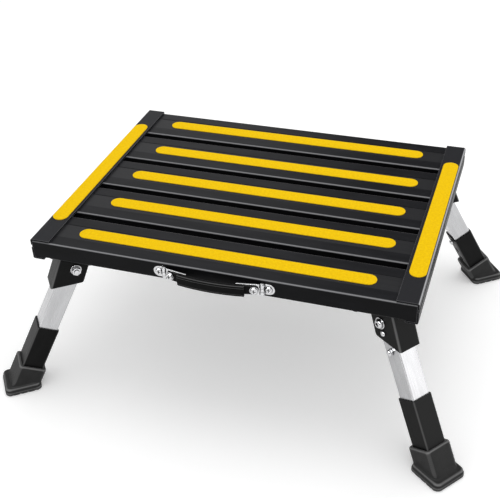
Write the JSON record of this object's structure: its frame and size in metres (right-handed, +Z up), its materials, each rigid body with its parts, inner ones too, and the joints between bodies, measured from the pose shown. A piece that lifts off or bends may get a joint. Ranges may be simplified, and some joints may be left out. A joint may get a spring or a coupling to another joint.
{
  "type": "caravan entry step",
  "caption": "Folding entry step: slatted platform with grip tapes on splayed telescopic legs that fold under it, with rubber feet, spring buttons and a strap handle.",
  "frame": {"origin": "centre of the four feet on the floor", "axes": "+X along the step's long side, -Y towards the handle side, +Z up"},
  "size_m": [0.6252, 0.48, 0.2278],
  "materials": {
    "black_aluminium": "satin black powder coat on aluminium",
    "black_steel": "satin black powder coat on steel",
    "bright_tube": "satin anodised aluminium",
    "grip_tape": "yellow grit-coated tape",
    "foot_rubber": "matte black rubber",
    "strap_rubber": "smooth black rubber",
    "bright_steel": "bright chrome plate on steel",
    "spring_steel": "blued spring steel",
    "nylon": "natural nylon"
  },
  "bodies": {
    "platform": {"front_plank": "black_aluminium", "front_middle_plank": "black_aluminium", "middle_plank": "black_aluminium", "rear_middle_plank": "black_aluminium", "rear_plank": "black_aluminium", "front_grip_tape": "grip_tape", "front_middle_grip_tape": "grip_tape", "middle_grip_tape": "grip_tape", "rear_middle_grip_tape": "grip_tape", "rear_grip_tape": "grip_tape", "left_end_cap": "black_aluminium", "right_end_cap": "black_aluminium", "left_end_tape": "grip_tape", "right_end_tape": "grip_tape", "end_cap_rivets": "black_steel", "bracket_rivets": "black_steel", "pivot_bolts": "bright_steel", "pivot_nuts": "bright_steel", "pivot_bushes": "bright_steel", "thrust_washers": "nylon", "stop_pads": "foot_rubber", "left_handle_fixed_leaf": "bright_steel", "right_handle_fixed_leaf": "bright_steel", "handle_hinge_pins": "bright_steel", "handle_screws": "bright_steel", "front_left_bracket": "black_steel", "front_right_bracket": "black_steel", "rear_left_bracket": "black_steel", "rear_right_bracket": "black_steel"},
    "left_handle_leaf": {"left_handle_swinging_leaf": "bright_steel", "left_handle_strap_rivet": "bright_steel"},
    "right_handle_leaf": {"right_handle_swinging_leaf": "bright_steel", "right_handle_strap_rivet": "bright_steel"},
    "handle_strap": {"handle_strap": "strap_rubber"},
    "front_left_leg": {"front_left_upper_tube": "bright_tube", "front_left_lock_springs": "spring_steel"},
    "front_left_extension": {"front_left_lower_sleeve": "black_aluminium", "front_left_foot": "foot_rubber"},
    "front_left_fold_button": {"front_left_fold_button": "bright_steel"},
    "front_left_height_button": {"front_left_height_button": "bright_steel"},
    "front_right_leg": {"front_right_upper_tube": "bright_tube", "front_right_lock_springs": "spring_steel"},
    "front_right_extension": {"front_right_lower_sleeve": "black_aluminium", "front_right_foot": "foot_rubber"},
    "front_right_fold_button": {"front_right_fold_button": "bright_steel"},
    "front_right_height_button": {"front_right_height_button": "bright_steel"},
    "rear_left_leg": {"rear_left_upper_tube": "bright_tube", "rear_left_lock_springs": "spring_steel"},
    "rear_left_extension": {"rear_left_lower_sleeve": "black_aluminium", "rear_left_foot": "foot_rubber"},
    "rear_left_fold_button": {"rear_left_fold_button": "bright_steel"},
    "rear_left_height_button": {"rear_left_height_button": "bright_steel"},
    "rear_right_leg": {"rear_right_upper_tube": "bright_tube", "rear_right_lock_springs": "spring_steel"},
    "rear_right_extension": {"rear_right_lower_sleeve": "black_aluminium", "rear_right_foot": "foot_rubber"},
    "rear_right_fold_button": {"rear_right_fold_button": "bright_steel"},
    "rear_right_height_button": {"rear_right_height_button": "bright_steel"}
  },
  "joints": [
    {"name": "front_left_fold", "type": "hinge", "parent": "platform", "child": "front_left_leg", "pos_m": [-0.20515, -0.15212, 0.17547], "axis": [0.5976, -0.8018, 0], "range_deg": [0, 118], "deforming": ["front_left_fold_button"]},
    {"name": "front_left_height", "type": "slide", "parent": "front_left_leg", "child": "front_left_extension", "axis": [0.3764, 0.2806, 0.8829], "range_m": [0, 0.04], "deforming": ["front_left_height_button"]},
    {"name": "front_left_fold_button_press", "type": "slide", "parent": "front_left_leg", "child": "front_left_fold_button", "axis": [0.5976, -0.8018, 0], "range_m": [0, 0.0052], "stiffness_N_per_m": 1500, "deforming": ["front_left_lock_springs"]},
    {"name": "front_left_height_button_press", "type": "slide", "parent": "front_left_leg", "child": "front_left_height_button", "axis": [-0.7079, -0.5277, 0.4695], "range_m": [0, 0.0061], "stiffness_N_per_m": 1500},
    {"name": "front_right_fold", "type": "hinge", "parent": "platform", "child": "front_right_leg", "pos_m": [0.20515, -0.15212, 0.17547], "axis": [0.5976, 0.8018, 0], "range_deg": [0, 118], "deforming": ["front_right_fold_button"]},
    {"name": "front_right_height", "type": "slide", "parent": "front_right_leg", "child": "front_right_extension", "axis": [-0.3764, 0.2806, 0.8829], "range_m": [0, 0.04], "deforming": ["front_right_height_button"]},
    {"name": "front_right_fold_button_press", "type": "slide", "parent": "front_right_leg", "child": "front_right_fold_button", "axis": [0.5976, 0.8018, 0], "range_m": [0, 0.0052], "stiffness_N_per_m": 1500, "deforming": ["front_right_lock_springs"]},
    {"name": "front_right_height_button_press", "type": "slide", "parent": "front_right_leg", "child": "front_right_height_button", "axis": [0.7079, -0.5277, 0.4695], "range_m": [0, 0.0061], "stiffness_N_per_m": 1500},
    {"name": "rear_left_fold", "type": "hinge", "parent": "platform", "child": "rear_left_leg", "pos_m": [-0.20515, 0.15212, 0.17547], "axis": [-0.5976, -0.8018, 0], "range_deg": [0, 118], "deforming": ["rear_left_fold_button"]},
    {"name": "rear_left_height", "type": "slide", "parent": "rear_left_leg", "child": "rear_left_extension", "axis": [0.3764, -0.2806, 0.8829], "range_m": [0, 0.04], "deforming": ["rear_left_height_button"]},
    {"name": "rear_left_fold_button_press", "type": "slide", "parent": "rear_left_leg", "child": "rear_left_fold_button", "axis": [-0.5976, -0.8018, 0], "range_m": [0, 0.0052], "stiffness_N_per_m": 1500, "deforming": ["rear_left_lock_springs"]},
    {"name": "rear_left_height_button_press", "type": "slide", "parent": "rear_left_leg", "child": "rear_left_height_button", "axis": [-0.7079, 0.5277, 0.4695], "range_m": [0, 0.0061], "stiffness_N_per_m": 1500},
    {"name": "rear_right_fold", "type": "hinge", "parent": "platform", "child": "rear_right_leg", "pos_m": [0.20515, 0.15212, 0.17547], "axis": [-0.5976, 0.8018, 0], "range_deg": [0, 118], "deforming": ["rear_right_fold_button"]},
    {"name": "rear_right_height", "type": "slide", "parent": "rear_right_leg", "child": "rear_right_extension", "axis": [-0.3764, -0.2806, 0.8829], "range_m": [0, 0.04], "deforming": ["rear_right_height_button"]},
    {"name": "rear_right_fold_button_press", "type": "slide", "parent": "rear_right_leg", "child": "rear_right_fold_button", "axis": [-0.5976, 0.8018, 0], "range_m": [0, 0.0052], "stiffness_N_per_m": 1500, "deforming": ["rear_right_lock_springs"]},
    {"name": "rear_right_height_button_press", "type": "slide", "parent": "rear_right_leg", "child": "rear_right_height_button", "axis": [0.7079, 0.5277, 0.4695], "range_m": [0, 0.0061], "stiffness_N_per_m": 1500},
    {"name": "left_handle_hinge", "type": "hinge", "parent": "platform", "child": "left_handle_leaf", "pos_m": [-0.061, -0.18725, 0.2126], "axis": [0, 0, 1], "range_deg": [0, 12], "stiffness_Nm_per_rad": 0.5, "deforming": ["handle_strap"]},
    {"name": "right_handle_hinge", "type": "hinge", "parent": "platform", "child": "right_handle_leaf", "pos_m": [0.061, -0.18725, 0.2126], "axis": [0, 0, 1], "range_deg": [-12, 0], "deforming": ["handle_strap"]},
    {"name": "handle_strap_press", "type": "slide", "parent": "platform", "child": "handle_strap", "axis": [0, 1, 0], "range_m": [0, 0.0052]}
  ],
  "couplings": [
    {"joint": "right_handle_hinge", "follows": "left_handle_hinge", "ratio": -1},
    {"joint": "handle_strap_press", "follows": "left_handle_hinge", "m_per_rad": 0.024803}
  ]
}
